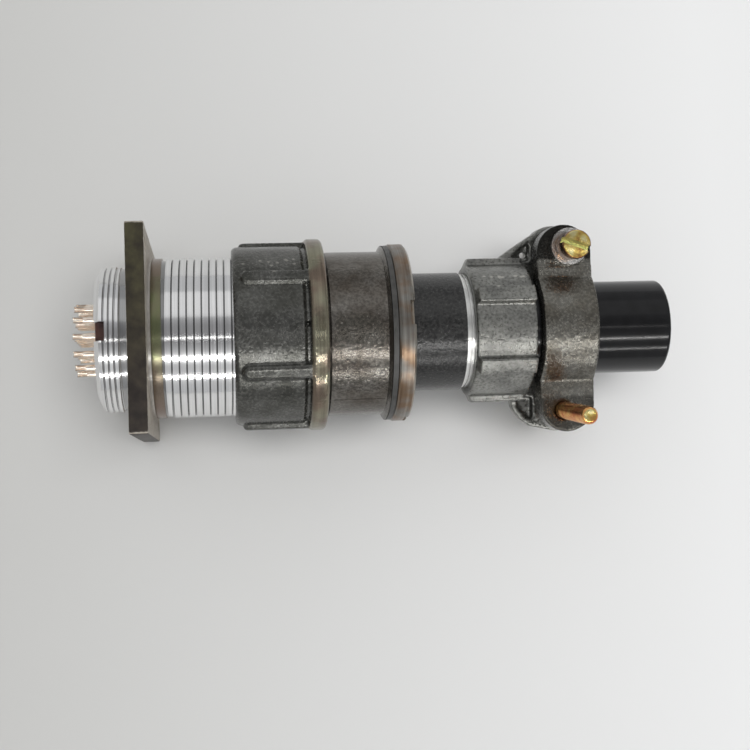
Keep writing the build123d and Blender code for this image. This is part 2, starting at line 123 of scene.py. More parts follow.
def reckon(add, operation, first, second=0.0):
    # One step of arithmetic on two values, or on the first alone.
    return add("Math", {0: first, 1: second}, operation=operation).outputs[0]


def rise(add, value, start, end, low=0.0, high=1.0):
    # Goes from low to high while a value goes from start to end, and is level outside them.
    return add("MapRange", {"Value": value, "From Min": start, "From Max": end,
                            "To Min": low, "To Max": high}).outputs["Result"]


def between(add, share, low, high):
    # A value from low to high for a share from 0 to 1, such as noise gives.
    return rise(add, share, 0.0, 1.0, low, high)


def speckle(add, size, detail=3, stretch=None):
    # Noise whose patches are about so many millimetres across.
    coords = add("TexCoord").outputs["Object"]
    if stretch:
        coords = add("Mapping", {"Vector": coords, "Scale": stretch}).outputs["Vector"]
    return add("TexNoise", {"Vector": coords, "Scale": 1 / (size * mm), "Detail": detail}).outputs["Fac"]


def frayed(add, value, size, reach, detail=3):
    # A value pushed to and fro by noise, so that an edge made from it is ragged.
    return reckon(add, "ADD", value, between(add, speckle(add, size, detail), -reach * mm, reach * mm))


def ramp(add, value, *stops):
    # A colour that follows a value, from (place, colour) stops.
    node = add("ValToRGB", {"Fac": value})
    while len(node.color_ramp.elements) < len(stops):
        node.color_ramp.elements.new(0.5)
    for element, (place, colour) in zip(node.color_ramp.elements, stops):
        element.position = place
        element.color = (*colour, 1)
    return node.outputs["Color"]


bench_mesh = bpy.data.meshes.new("bench")
bench_corners = [(x * bench_reach, y * bench_reach) for x, y in ((-1, -1), (1, -1), (1, 1), (-1, 1))]
bench_mesh.from_pydata([(x, y, bench_height(x)) for x, y in bench_corners], [], [(0, 1, 2, 3)])
bench = link(bpy.data.objects.new("bench", bench_mesh))
bench_finish, add, skin = finish_kit("pale bench with painted shade")
# The bench's colour goes from dark to light along X: painted shade towards the flange's end.
cloudy = frayed(add, place_on(add, "X"), bench_cloud, bench_wander)
painted_falloff = rise(add, cloudy, bench_shaded_x * mm, bench_lit_x * mm)
skin(Base_Color=ramp(add, painted_falloff, (0, bench_shaded_colour), (1, bench_lit_colour)),
     Roughness=between(add, speckle(add, 2), 0.5, 0.65))
bench_mesh.materials.append(bench_finish)

# Lamps and camera
# A pale room that is darker straight above, a soft panel overhead, a weaker one on the far
# side, and long ceiling tubes that show only as streaks. The camera looks down from above.
room_walls = (0.50, 0.505, 0.51)
room_top = (0.26, 0.26, 0.265)
walls_end, top_start = 0.88, 0.985      # upward part of a direction of length 1
lamp_colour = (1, 0.99, 0.97)
panel_distance, tube_distance = 1.4, 1.3
tube_size = (1.5, 0.02)

world = bpy.data.worlds.new("room")
world.use_nodes = True
add = node_adder(world.node_tree, "ShaderNode")
upward = add("SeparateXYZ", {"Vector": add("TexCoord").outputs["Generated"]}).outputs["Z"]
room_colour = ramp(add, upward, (walls_end, room_walls), (top_start, room_top))
fill(world.node_tree, world.node_tree.nodes["Background"], {"Color": room_colour})
bpy.context.scene.world = world


def lamp(name, tilt, distance, size, power, along=0.05, soft_only=False, streak_only=False):
    # An area lamp so many degrees from overhead, towards -Y, that looks at the connector.
    data = bpy.data.lights.new(name, "AREA")
    data.shape = "RECTANGLE"
    data.size, data.size_y = size
    data.energy = power
    data.color = lamp_colour
    body = link(bpy.data.objects.new(name, data))
    body.location = (along, -distance * sin(radians(tilt)), distance * cos(radians(tilt)))
    body.rotation_euler = (radians(tilt), 0, 0)
    body.visible_glossy = not soft_only
    body.visible_diffuse = not streak_only


lamp("overhead panel", -3, panel_distance, (1.2, 0.55), 11.5, along=0.2, soft_only=True)
lamp("far panel", -42, panel_distance, (1.6, 1.0), 1.2)
for tube_name, tilt, power in (("near ceiling tube", 7, 0.5), ("middle ceiling tube", 35.5, 6.2),
                               ("outer ceiling tube", 63.5, 3.6)):
    lamp(tube_name, tilt, tube_distance, tube_size, power, streak_only=True)

photo_side = 750
focal_pixels = 1200
sensor_width = 36
camera_place = (17.12, -29.41, 240.88)
camera_turn = (4.95, -7.25, -1.75)      # degrees about the connector's X, Y and Z axes
camera_data = bpy.data.cameras.new("camera")
camera_data.sensor_width = sensor_width
camera_data.lens = focal_pixels * sensor_width / photo_side
camera_data.clip_start = 0.01
camera = link(bpy.data.objects.new("camera", camera_data))
camera.location = Vector(camera_place) * mm
camera.rotation_mode = "ZYX"
camera.rotation_euler = Euler([radians(turn) for turn in camera_turn], "ZYX")
bpy.context.scene.camera = camera
bpy.context.scene.view_settings.view_transform = "Standard"

# Flange
# The receptacle's square mounting flange, milled in one piece with the barrels. Its sides
# keep the dark olive plating, and its two faces are worn to bare metal. Four screw holes.
flange_half = (shell_high.y - shell_low.y) / mm / 2
flange_corner = 0.7
flange_ease = 0.22
flange_bore = 14.2
mount_half = 15.6                       # from the axis to a screw hole, along Y and along Z
mount_radius = 1.9
plating_start, plating_full = 0.16, 0.06        # in from the sides
brown_y, olive_y = -12, 12              # where the plating is all brown and all olive
sharp_edge = 35                         # degrees between two faces
hole_sides = 48


def plate(name, outlines, low, high, finish, ease):
    # A flat plate across the X axis, from closed (Y, Z) outlines in mm; inner ones are holes.
    curve = bpy.data.curves.new(name, "CURVE")
    curve.dimensions = "2D"
    curve.fill_mode = "BOTH"
    curve.extrude = (high - low) / 2 - ease
    curve.bevel_depth = ease
    curve.bevel_resolution = 2
    curve.offset = -ease
    for outline in outlines:
        spline = curve.splines.new("POLY")
        spline.points.add(len(outline) - 1)
        for point, (y, z) in zip(spline.points, outline):
            point.co = (y, z, 0, 1)
        spline.use_cyclic_u = True
    pattern = link(bpy.data.objects.new(name, curve))
    bpy.context.view_layer.update()
    mesh = bpy.data.meshes.new_from_object(pattern.evaluated_get(bpy.context.evaluated_depsgraph_get()))
    bpy.data.objects.remove(pattern)        # the curve was only a pattern for the mesh
    for vertex in mesh.vertices:
        y, z, x = vertex.co
        vertex.co = ((x + (low + high) / 2) * mm, y * mm, z * mm)
    mesh.materials.clear()
    mesh.materials.append(finish)
    return closed(link(bpy.data.objects.new(name, mesh)))


def closed(piece):
    # Doubles merged, faces outwards, smooth but for the sharp edges.
    shell = bmesh.new()
    shell.from_mesh(piece.data)
    bmesh.ops.remove_doubles(shell, verts=shell.verts, dist=1e-7)
    bmesh.ops.recalc_face_normals(shell, faces=shell.faces)
    shell.to_mesh(piece.data)
    shell.free()
    piece.data.shade_smooth()
    piece.data.set_sharp_from_angle(angle=radians(sharp_edge))
    return piece


def fit(piece, body, slot, *nodes):
    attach(piece, body)
    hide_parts(*nodes)


def ring_points(y, z, radius):
    turns = [2 * pi * step / hole_sides for step in range(hole_sides)]
    return [(y + radius * cos(turn), z + radius * sin(turn)) for turn in turns]


def shaded(add, grain, dark, light, spread=0.15):
    # A colour from dark to light as noise passes its middle value.
    return ramp(add, grain, (0.5 - spread, dark), (0.5 + spread, light))


def blend(add, share, first, second, how="MIX"):
    return add("MixRGB", {"Fac": share, "Color1": first, "Color2": second}, blend_type=how).outputs["Color"]


def relief(add, value, strength, depth):
    return add("Bump", {"Height": value, "Strength": strength, "Distance": depth * mm}).outputs["Normal"]


flange_finish, add, skin = finish_kit("worn olive plating")
across = reckon(add, "ABSOLUTE", place_on(add, "Y"))
upright = reckon(add, "ABSOLUTE", place_on(add, "Z"))
outermost = frayed(add, reckon(add, "MAXIMUM", across, upright), 0.8, 0.12)
plated = rise(add, outermost, (flange_half - plating_start) * mm, (flange_half - plating_full) * mm)
face_colour = shaded(add, speckle(add, 1.2, 5), (0.33, 0.29, 0.24), (0.49, 0.45, 0.39), spread=0.2)
patches = speckle(add, 2.6, 6)
brown = shaded(add, patches, (0.014, 0.010, 0.008), (0.040, 0.030, 0.022), spread=0.18)
olive = shaded(add, patches, (0.026, 0.021, 0.013), (0.062, 0.056, 0.027), spread=0.18)
side_colour = blend(add, rise(add, place_on(add, "Y"), brown_y * mm, olive_y * mm), brown, olive)
skin(Base_Color=blend(add, plated, face_colour, side_colour), Metallic=0.35,
     Roughness=between(add, speckle(add, 0.5), 0.38, 0.6),
     Normal=relief(add, speckle(add, 0.35, 4), 0.5, 0.03))

corner_centre = flange_half - flange_corner
flange_outline = [(side_y * corner_centre + flange_corner * cos(radians(first + step)),
                   side_z * corner_centre + flange_corner * sin(radians(first + step)))
                  for side_y, side_z, first in ((1, 1, 0), (-1, 1, 90), (-1, -1, 180), (1, -1, 270))
                  for step in (0, 22.5, 45, 67.5, 90)]
mount_rings = [ring_points(side_y * mount_half, side_z * mount_half, mount_radius)
               for side_y in (1, -1) for side_z in (1, -1)]
flange_plate = plate("flange_plate", [flange_outline, ring_points(0, 0, flange_bore), *mount_rings],
                     0, flange_thickness, flange_finish, flange_ease)
fit(flange_plate, "receptacle", "bright_metal", "receptacle_shell")

# Receptacle barrels
# Turned from bar and left bright: a short rear barrel whose thread takes a cable fitting, and
# the long front barrel with the coupling thread. A slot is milled in the rear rim, and five
# keyways in the mouth.
rear_end, mouth_end = shell_low.x / mm, shell_high.x / mm
insert_bore = 12.35
rim_radius, rim_lead = 12.95, 1.1       # of the rear rim's flat, and its chamfer's length
rear_crest, rear_root = 14.45, 14.07
relief_start, relief_end, relief_radius = -1.75, -0.3, 13.97
shoulder_radius, shoulder_end = 14.7, 2.9
neck_radius = 15.45
band_start, band_end = 4.1, 6.05
crest_radius, root_radius = 15.875, 15.4
mouth_radius, mouth_floor = 13.575, 21.2
mouth_lead, mouth_lead_depth = 0.8, 0.5
lip_radius, lip_start = 11.55, 20.0
overrun = 1                             # of a cutter past the edge it cuts
rim_slot_depth, rim_slot_width, rim_slot_height = 2.1, 3.6, 6
keyway_start, keyway_radius, keyway_height = 22.4, 14.475, 2
keyways = ((0, 3.0), (75, 1.8), (130, 1.8), (215, 1.8), (290, 1.8))     # degrees from +Z to +Y; width
corner_steps = 3
front_start = 4                         # ahead of it the coupling thread's heights count
front_unshaded_depth, rear_unshaded_depth = 0.12, 0.1     # how far below the crests the metal is free of painted shade
rear_shade_depth = 0.2                       # how far below the rear root the painted shade is full
rim_unshaded_reach = 1                           # how far from the rear rim the metal is free of painted shade at every height


def eased(outline, ease):
    # The same outline with each corner rounded off, apart from those on the axis.
    rounded = []
    for spot, corner in enumerate(outline):
        here = Vector(corner)
        before = Vector(outline[spot - 1]) - here
        after = Vector(outline[(spot + 1) % len(outline)]) - here
        if here.y == 0:
            rounded.append(tuple(here))
            continue
        first = here + before.normalized() * min(ease, before.length * 0.45)
        last = here + after.normalized() * min(ease, after.length * 0.45)
        for step in range(corner_steps + 1):
            t = step / corner_steps
            rounded.append(tuple(first * (1 - t) ** 2 + here * 2 * t * (1 - t) + last * t ** 2))
    return rounded


def turned(name, outline, finish, ease=0.15, steps=144, stand=Matrix()):
    # A closed ring turned about X from (station, radius) points in mm, then stood in its place.
    points = eased(outline, ease)
    count = len(points)
    turns = [2 * pi * step / steps for step in range(steps)]
    spots = [stand @ Vector((x, r * cos(turn), r * sin(turn))) * mm for turn in turns for x, r in points]
    faces = [(step * count + spot, step * count + (spot + 1) % count,
              (step + 1) % steps * count + (spot + 1) % count, (step + 1) % steps * count + spot)
             for step in range(steps) for spot in range(count)]
    mesh = bpy.data.meshes.new(name)
    mesh.from_pydata(spots, [], faces)
    mesh.materials.append(finish)
    return closed(link(bpy.data.objects.new(name, mesh)))


def as_built(piece):
    # The piece's mesh with its modifiers applied.
    bpy.context.view_layer.update()
    mesh = bpy.data.meshes.new_from_object(piece.evaluated_get(bpy.context.evaluated_depsgraph_get()))
    piece.modifiers.clear()
    piece.data = mesh
    return piece


def milled(piece, centre, size, turn=Matrix()):
    # A straight slot cut into a piece by a box of this size, in mm.
    place = Matrix.Scale(mm, 4) @ Matrix.Translation(centre) @ turn @ Matrix.Diagonal((*size, 1))
    block = bmesh.new()
    bmesh.ops.create_cube(block, size=1)
    bmesh.ops.transform(block, verts=block.verts, matrix=place)
    mesh = bpy.data.meshes.new("cutter")
    block.to_mesh(mesh)
    block.free()
    cutter = link(bpy.data.objects.new("cutter", mesh))
    cut = piece.modifiers.new("slot", "BOOLEAN")
    cut.operation = "DIFFERENCE"
    cut.solver = "EXACT"
    cut.object = cutter
    closed(as_built(piece))
    bpy.data.objects.remove(cutter)


def grey(level):
    return (level, level, level)


bare_finish, add, skin = finish_kit("bare turned aluminium")
radius = reckon(add, "SQRT", reckon(add, "ADD", reckon(add, "POWER", place_on(add, "Y"), 2),
                                    reckon(add, "POWER", place_on(add, "Z"), 2)))
# Everything below the thread crests is painted a darker grey as shade, in the roots, the relief groove and
# the mouth. The crests and the rear rim stay bright.
at_front = reckon(add, "GREATER_THAN", place_on(add, "X"), front_start * mm)
at_rim = reckon(add, "LESS_THAN", place_on(add, "X"), (rear_end + rim_unshaded_reach) * mm)
front_height = rise(add, radius, root_radius * mm, (crest_radius - front_unshaded_depth) * mm)
rear_height = rise(add, radius, (rear_root - rear_shade_depth) * mm, (rear_crest - rear_unshaded_depth) * mm)
unshaded = reckon(add, "MAXIMUM", blend(add, at_front, rear_height, front_height), at_rim)
tool_marks = speckle(add, 0.35, 4, stretch=(1, 0.015, 0.015))
cloth_marks = between(add, speckle(add, 2.5, 4), 0.0, 0.3)
fresh = shaded(add, tool_marks, (0.80, 0.80, 0.81), (0.95, 0.95, 0.96), spread=0.2)
wiped = blend(add, cloth_marks, fresh, (0.62, 0.61, 0.59))
skin(Base_Color=blend(add, unshaded, grey(0.28), wiped), Metallic=1.0,
     Roughness=between(add, tool_marks, 0.06, 0.2), Normal=relief(add, tool_marks, 0.15, 0.006))

barrel = turned("receptacle_barrel", [
    (rear_end, insert_bore), (rear_end, rim_radius), (rear_end + rim_lead, rear_root),
    (relief_start, rear_root), (relief_start, relief_radius), (relief_end, relief_radius),
    (relief_end, shoulder_radius), (shoulder_end, shoulder_radius), (shoulder_end, neck_radius),
    (band_end, neck_radius), (band_end, root_radius), (mouth_end - mouth_lead, root_radius),
    (mouth_end, root_radius - mouth_lead_depth), (mouth_end, mouth_radius), (mouth_floor, mouth_radius),
    (mouth_floor, lip_radius), (lip_start, lip_radius), (lip_start, insert_bore)], bare_finish)
rim_slot = ((rear_end + (rim_slot_depth - overrun) / 2, 0, rear_crest),
            (rim_slot_depth + overrun, rim_slot_width, rim_slot_height))
milled(barrel, *rim_slot)
for angle, width in keyways:
    keyway_turn = Matrix.Rotation(-radians(angle), 4, "X")
    keyway_middle = Vector(((keyway_start + mouth_end + overrun) / 2, 0, keyway_radius - keyway_height / 2))
    milled(barrel, keyway_turn @ keyway_middle, (mouth_end + overrun - keyway_start, width, keyway_height),
           keyway_turn)
fit(barrel, "receptacle", "bright_metal", "receptacle_shell")

# Neck band
# A plain ring of full diameter between the flange and the thread. It kept its olive-brown
# plating when the thread was cut, and is polished enough to mirror the bench.
band_bore = 15.1
band_brown_z, band_olive_z = 6, 17

band_finish, add, skin = finish_kit("glossy olive band")
upwards = rise(add, frayed(add, place_on(add, "Z"), 4.0, 4, detail=4), band_brown_z * mm, band_olive_z * mm)
band_colour = ramp(add, upwards, (0.1, (0.22, 0.17, 0.14)), (0.6, (0.20, 0.165, 0.125)),
                   (0.9, (0.17, 0.185, 0.10)))
skin(Base_Color=band_colour, Metallic=0.9, Roughness=between(add, speckle(add, 0.5), 0.16, 0.3),
     Normal=relief(add, speckle(add, 0.25, 3, stretch=(1, 0.02, 0.02)), 0.25, 0.01))
band = turned("neck_band", [(band_start, band_bore), (band_start, crest_radius), (band_end, crest_radius),
                            (band_end, band_bore)], band_finish, ease=0.12)
fit(band, "receptacle", "bright_metal", "receptacle_shell")

# Coupling thread and rear thread
# Single-start right-hand threads: 18 to the inch on the front barrel, 1 mm pitch on the rear
# one. Flat crests with narrow roots, painted dark as shade, and each runs out at both ends.
coupling_pitch, coupling_start, coupling_turns = 25.4 / 18, 6.5, 16.6
rear_pitch, rear_start, rear_turns = 1.0, -5.8, 3.9
ridge_foot = 0.98                       # of the pitch
ridge_sunk = 0.2                        # of the depth, so that no gap opens at the root
run_out_turns, thinnest = 0.4, 0.05


def tree_kit(name, inputs):
    # A new tree with named inputs, a way to add nodes to it, and a way to end it: the shape is
    # made real and gets its finish.
    tree = bpy.data.node_groups.new(name, "GeometryNodeTree")
    tree.interface.new_socket("Geometry", in_out="OUTPUT", socket_type="NodeSocketGeometry")
    for label, kind in inputs.items():
        tree.interface.new_socket(label, in_out="INPUT", socket_type=f"NodeSocket{kind}")
    add = node_adder(tree)
    given = add("NodeGroupInput").outputs

    def finished(shape):
        real = add("GeometryNodeRealizeInstances", {0: shape.outputs[0]})
        coated = add("GeometryNodeSetMaterial", {"Geometry": real.outputs[0], "Material": given["Finish"]})
        add("NodeGroupOutput", {0: coated.outputs[0]})
        return tree

    return add, given, finished


def thread_tree():
    # A ridge wound on a helix about +Z, tapering out at both ends, then turned and moved into place.
    add, given, finished = tree_kit("wound thread", {
        "Root radius": "Float", "Pitch": "Float", "Turns": "Float", "Depth": "Float", "Crest width": "Float",
        "Root width": "Float", "Run-out turns": "Float", "Steps per turn": "Int", "Start": "Vector",
        "Turned": "Vector", "Finish": "Material"})

    def worked(operation, first, second):
        return add("ShaderNodeMath", {0: first, 1: second}, operation=operation).outputs[0]

    helix = add("GeometryNodeCurveSpiral", {
        "Resolution": given["Steps per turn"], "Rotations": given["Turns"],
        "Start Radius": given["Root radius"], "End Radius": given["Root radius"],
        "Height": worked("MULTIPLY", given["Pitch"], given["Turns"])})
    upright = add("GeometryNodeSetCurveNormal", {"Curve": helix.outputs[0]}, mode="Z_UP")
    ridge = add("GeometryNodeCurvePrimitiveQuadrilateral", {
        "Bottom Width": given["Root width"], "Top Width": given["Crest width"], "Offset": 0,
        "Height": worked("MULTIPLY", given["Depth"], 1 + ridge_sunk)}, mode="TRAPEZOID")
    lift = add("ShaderNodeCombineXYZ", {"Y": worked("MULTIPLY", given["Depth"], (1 - ridge_sunk) / 2)})
    seated = add("GeometryNodeTransform", {"Geometry": ridge.outputs[0], "Translation": lift.outputs[0]})
    stood = add("GeometryNodeTransform", {"Geometry": seated.outputs[0], "Rotation": (0, 0, pi / 2)})
    along = add("GeometryNodeSplineParameter").outputs["Factor"]
    nearest = worked("MINIMUM", along, worked("SUBTRACT", 1.0, along))
    taper = worked("DIVIDE", worked("MULTIPLY", nearest, given["Turns"]), given["Run-out turns"])
    swept = add("GeometryNodeCurveToMesh", {
        "Curve": upright.outputs[0], "Profile Curve": stood.outputs[0], "Fill Caps": True,
        "Scale": worked("MAXIMUM", worked("MINIMUM", taper, 1.0), thinnest)})
    return finished(add("GeometryNodeTransform", {
        "Geometry": swept.outputs[0], "Translation": given["Start"], "Rotation": given["Turned"]}))


def grown(name, tree, sizes):
    # The plain mesh that a tree gives for these sizes.
    seed = link(bpy.data.objects.new(name, bpy.data.meshes.new(name)))
    growth = seed.modifiers.new("growth", "NODES")
    growth.node_group = tree
    for item in tree.interface.items_tree:
        if item.in_out == "INPUT":
            growth[item.identifier] = sizes[item.name]
    return closed(as_built(seed))


wound_thread = thread_tree()


def thread(name, crest, depth, pitch, turns, start, finish, turned_to=(0, pi / 2, 0), steps=96,
           crest_share=0.78):
    # One thread's ridge; its sizes are in mm, and its start is in metres.
    return grown(name, wound_thread, {
        "Root radius": (crest - depth) * mm, "Pitch": pitch * mm, "Turns": turns, "Depth": depth * mm,
        "Crest width": pitch * crest_share * mm, "Root width": pitch * ridge_foot * mm,
        "Run-out turns": run_out_turns, "Steps per turn": steps, "Start": start, "Turned": turned_to,
        "Finish": finish})


coupling_thread = thread("coupling_thread", crest_radius, crest_radius - root_radius, coupling_pitch,
                         coupling_turns, (coupling_start * mm, 0, 0), bare_finish)
rear_thread = thread("rear_thread", rear_crest, rear_crest - rear_root, rear_pitch, rear_turns,
                     (rear_start * mm, 0, 0), bare_finish, crest_share=0.6)
milled(rear_thread, *rim_slot)
for piece in (coupling_thread, rear_thread):
    fit(piece, "receptacle", "bright_metal", "receptacle_shell")

# Receptacle insert, plug insert and rubber rings
# Red-brown mouldings that hold the contacts, a rubber gasket between them and a rubber seal
# under the lock ring. The receptacle's insert is stepped, and the step fills the rear rim.
step_inset, step_end, step_play = 0.25, 1.1, 0.05

moulding_finish, add, skin = finish_kit("red-brown moulding")
skin(Base_Color=shaded(add, speckle(add, 1.5, 5), (0.022, 0.007, 0.005), (0.060, 0.018, 0.011)),
     Roughness=between(add, speckle(add, 0.5), 0.3, 0.45), Normal=relief(add, speckle(add, 0.4), 0.2, 0.01))
rubber_finish, add, skin = finish_kit("black rubber")
skin(Base_Color=shaded(add, speckle(add, 2.5, 5), (0.0015, 0.0015, 0.0020), (0.0045, 0.0045, 0.0055)),
     Roughness=between(add, speckle(add, 0.8), 0.30, 0.42),
     Normal=relief(add, speckle(add, 0.6, 4), 0.12, 0.01))
dusty_finish, add, skin = finish_kit("dusty rubber")
skin(Base_Color=shaded(add, speckle(add, 1.5, 5), (0.030, 0.030, 0.028), (0.052, 0.051, 0.048)),
     Roughness=between(add, speckle(add, 0.8), 0.35, 0.5),
     Normal=relief(add, speckle(add, 0.6, 4), 0.2, 0.01))


def coat(finish, *names):
    for name in names:
        slots = frame["nodes"][name].data.materials
        slots.clear()
        slots.append(finish)


coat(moulding_finish, "receptacle_insert", "plug_insert")
coat(rubber_finish, "interface_gasket")
coat(dusty_finish, "sealing_ring")
insert_step = turned("insert_step", [
    (rear_end + step_inset, 0), (rear_end + step_inset, insert_bore - step_play),
    (rear_end + step_end, insert_bore - step_play), (rear_end + step_end, 0)], moulding_finish)
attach(insert_step, "receptacle")

# Contacts
# Nineteen turned pins, gold plated: one in the middle, six and twelve on two circles. The tail
# is a solder cup with one side cut away. The plug's sleeves keep their shape from the model.
inner_count, inner_circle = 6, 3.4
outer_count, outer_circle = 12, 6.6
tail_tip, tail_radius = -11.2, 0.625
cup_radius, cup_depth = 0.4, 2.2
cup_cut_middle, cup_cut_length, cup_cut_height = 0.8, 2.3, 1.1
shank_end = 21.2
pin_end, pin_radius = 28.4, 0.5
pin_lead, pin_tip_radius = 0.3, 0.2

gold_finish, add, skin = finish_kit("pale gold plating")
skin(Base_Color=shaded(add, speckle(add, 0.9, 5), (0.80, 0.66, 0.55), (0.93, 0.87, 0.78), spread=0.2),
     Metallic=1.0, Roughness=between(add, speckle(add, 0.25), 0.16, 0.32),
     Normal=relief(add, speckle(add, 0.2), 0.2, 0.01))
coat(gold_finish, "socket_contacts")

single_contact = turned("single_contact", [
    (tail_tip + cup_depth, 0), (tail_tip + cup_depth, cup_radius), (tail_tip, cup_radius),
    (tail_tip, tail_radius), (shank_end, tail_radius), (shank_end, pin_radius),
    (pin_end - pin_lead, pin_radius), (pin_end, pin_tip_radius), (pin_end, 0)],
    gold_finish, ease=0.05, steps=20)
milled(single_contact, (tail_tip + cup_cut_middle, 0, tail_radius),
       (cup_cut_length, 2 * tail_radius, cup_cut_height))


def contact_tree():
    # Copies of one contact in the middle and on two circles across the X axis.
    add, given, finished = tree_kit("contact circles", {
        "Contact": "Object", "Inner count": "Int", "Inner circle": "Float", "Outer count": "Int",
        "Outer circle": "Float", "Finish": "Material"})
    spots = [add("GeometryNodeMeshLine", {"Count": 1}).outputs[0]]
    for row in ("Inner", "Outer"):
        ring = add("GeometryNodeMeshCircle", {
            "Vertices": given[f"{row} count"], "Radius": given[f"{row} circle"]})
        faced = add("GeometryNodeTransform", {"Geometry": ring.outputs[0], "Rotation": (0, -pi / 2, 0)})
        spots.append(faced.outputs[0])
    joined = add("GeometryNodeJoinGeometry", {0: spots})
    pattern = add("GeometryNodeObjectInfo", {"Object": given["Contact"]})
    return finished(add("GeometryNodeInstanceOnPoints", {
        "Points": joined.outputs[0], "Instance": pattern.outputs["Geometry"]}))


contacts = grown("contact_pins", contact_tree(), {
    "Contact": single_contact, "Inner count": inner_count, "Inner circle": inner_circle * mm,
    "Outer count": outer_count, "Outer circle": outer_circle * mm, "Finish": gold_finish})
bpy.data.objects.remove(single_contact)
pin_nodes = [name for name in frame["nodes"] if name.startswith("pin_contact")]
fit(contacts, "receptacle", "gold_contact", *pin_nodes)

# Coupling nut
# Cast with six rounded ribs for the fingers, then turned at the rim, where the casting's dark
# skin is cut away to an olive sheen. A hole for locking wire is drilled behind the rim, and a
# spring steel ring inside holds the nut on the plug.
nut_voxel = 0.27
rim_start = 34.0
wash_rounds = 6
pebble, pebble_height = 0.7, 0.02
cast_grain = 0.55
ridge_start, ridge_full = 0.55, 0.60    # of the pointiness, which is 0.5 where a piece is flat
shade_fade = 0.3                          # to both sides of where the painted shade ends
cut_before, cut_after = 0.1, 0.05       # from all cast to all turned, round the place of the cut
lathe_lines = (1, 0.03, 0.03)           # noise drawn out round the axis


def cast(name, node, finish, voxel):
    # A node's shape as it comes out of a mould: edges rounded, and a slightly uneven skin.
    mesh = frame["nodes"][node].data.copy()
    mesh.name = name
    mesh.materials.clear()
    mesh.materials.append(finish)
    piece = closed(link(bpy.data.objects.new(name, mesh)))
    mesh.transform(Matrix.Scale(1 / mm, 4))
    grid = piece.modifiers.new("grid", "REMESH")
    grid.mode = "VOXEL"
    grid.voxel_size = voxel
    wash = piece.modifiers.new("wash", "SMOOTH")
    wash.factor = 0.5
    wash.iterations = wash_rounds
    as_built(piece)
    outward = [vertex.normal.copy() for vertex in piece.data.vertices]
    for vertex, normal in zip(piece.data.vertices, outward):
        bumps = noise.noise(vertex.co / pebble) + 0.5 * noise.noise(2.5 * vertex.co / pebble)
        vertex.co += normal * bumps * pebble_height
    piece.data.transform(Matrix.Scale(mm, 4))
    piece.data.shade_smooth()
    return piece


def cast_finish(name, dark, light, rough=(0.12, 0.38), depth=0.07, wear=0.3, machined=None, shade_bands=()):
    # Rough cast skin whose ridges are rubbed bright. Machined gives the place along X beyond
    # which it is turned, and the two hues there. The places along Y, with how much of the colour
    # is left on the outer side of each, darken the colour there as painted shade.
    finish, add, skin = finish_kit(name)
    fine = speckle(add, cast_grain)
    patches = shaded(add, speckle(add, 5, 6), dark, light, spread=0.18)
    gritty = blend(add, 0.6, patches, shaded(add, fine, (0.35, 0.35, 0.34), grey(1), spread=0.12), "MULTIPLY")
    rubbed = rise(add, add("NewGeometry").outputs["Pointiness"], ridge_start, ridge_full, high=wear)
    colour = blend(add, rubbed, gritty, (0.62, 0.60, 0.55))
    # Beyond each place along Y the colour is darkened as painted shade.
    for edge, left in shade_bands:
        shade_line = frayed(add, place_on(add, "Y"), 2, 0.8, detail=4)
        before, after = (1, left) if edge > 0 else (left, 1)
        painted_darkening = rise(add, shade_line, (edge - shade_fade) * mm, (edge + shade_fade) * mm, before, after)
        colour = blend(add, 1, colour, painted_darkening, "MULTIPLY")
    gloss = between(add, fine, *rough)
    bump = 0.8
    if machined:
        start, sheen = machined
        station = frayed(add, place_on(add, "X"), 1.2, 0.06)
        cut = rise(add, station, (start - cut_before) * mm, (start + cut_after) * mm)
        stains = shaded(add, speckle(add, 6, 5), *sheen, spread=0.1)
        lines = shaded(add, speckle(add, 0.5, 5, stretch=lathe_lines), grey(0.5), grey(1))
        colour = blend(add, cut, colour, blend(add, 0.6, stains, lines, "MULTIPLY"))
        gloss = blend(add, cut, gloss, grey(0.2))
        bump = between(add, cut, bump, 0.05)
    skin(Base_Color=colour, Metallic=0.85, Roughness=gloss, Normal=relief(add, fine, bump, depth))
    return finish


olive_sheen = ((0.20, 0.155, 0.12), (0.27, 0.26, 0.19))
nut_finish = cast_finish("cast nut skin", (0.078, 0.078, 0.070), (0.150, 0.150, 0.142),
                         machined=(rim_start, olive_sheen))
nut = cast("coupling_nut_cast", "coupling_nut", nut_finish, nut_voxel)
fit(nut, "nut", "olive_plated", "coupling_nut")

spring_finish, add, skin = finish_kit("spring steel")
skin(Base_Color=shaded(add, speckle(add, 1.0), (0.30, 0.29, 0.28), (0.48, 0.47, 0.45)), Metallic=1.0,
     Roughness=between(add, speckle(add, 0.3), 0.25, 0.4))
coat(spring_finish, "nut_retaining_ring")

# Plug barrel
# The rear half of the plug's shell: cast, blackened and a little browner than the nut, with
# the mould's parting line left as a thin raised seam along the near side.
barrel_radius = 16.5
seam_turn = -58                         # degrees from +Z towards +Y
seam_start, seam_end = 38.6, 48.6
seam_foot, seam_crown = 0.175, 0.07     # half its width in the skin and at its top
seam_height, seam_sunk = 0.07, 0.1

barrel_finish = cast_finish("cast barrel skin", (0.103, 0.089, 0.075), (0.195, 0.184, 0.168),
                            rough=(0.10, 0.34), wear=0)
coat(barrel_finish, "plug_shell")

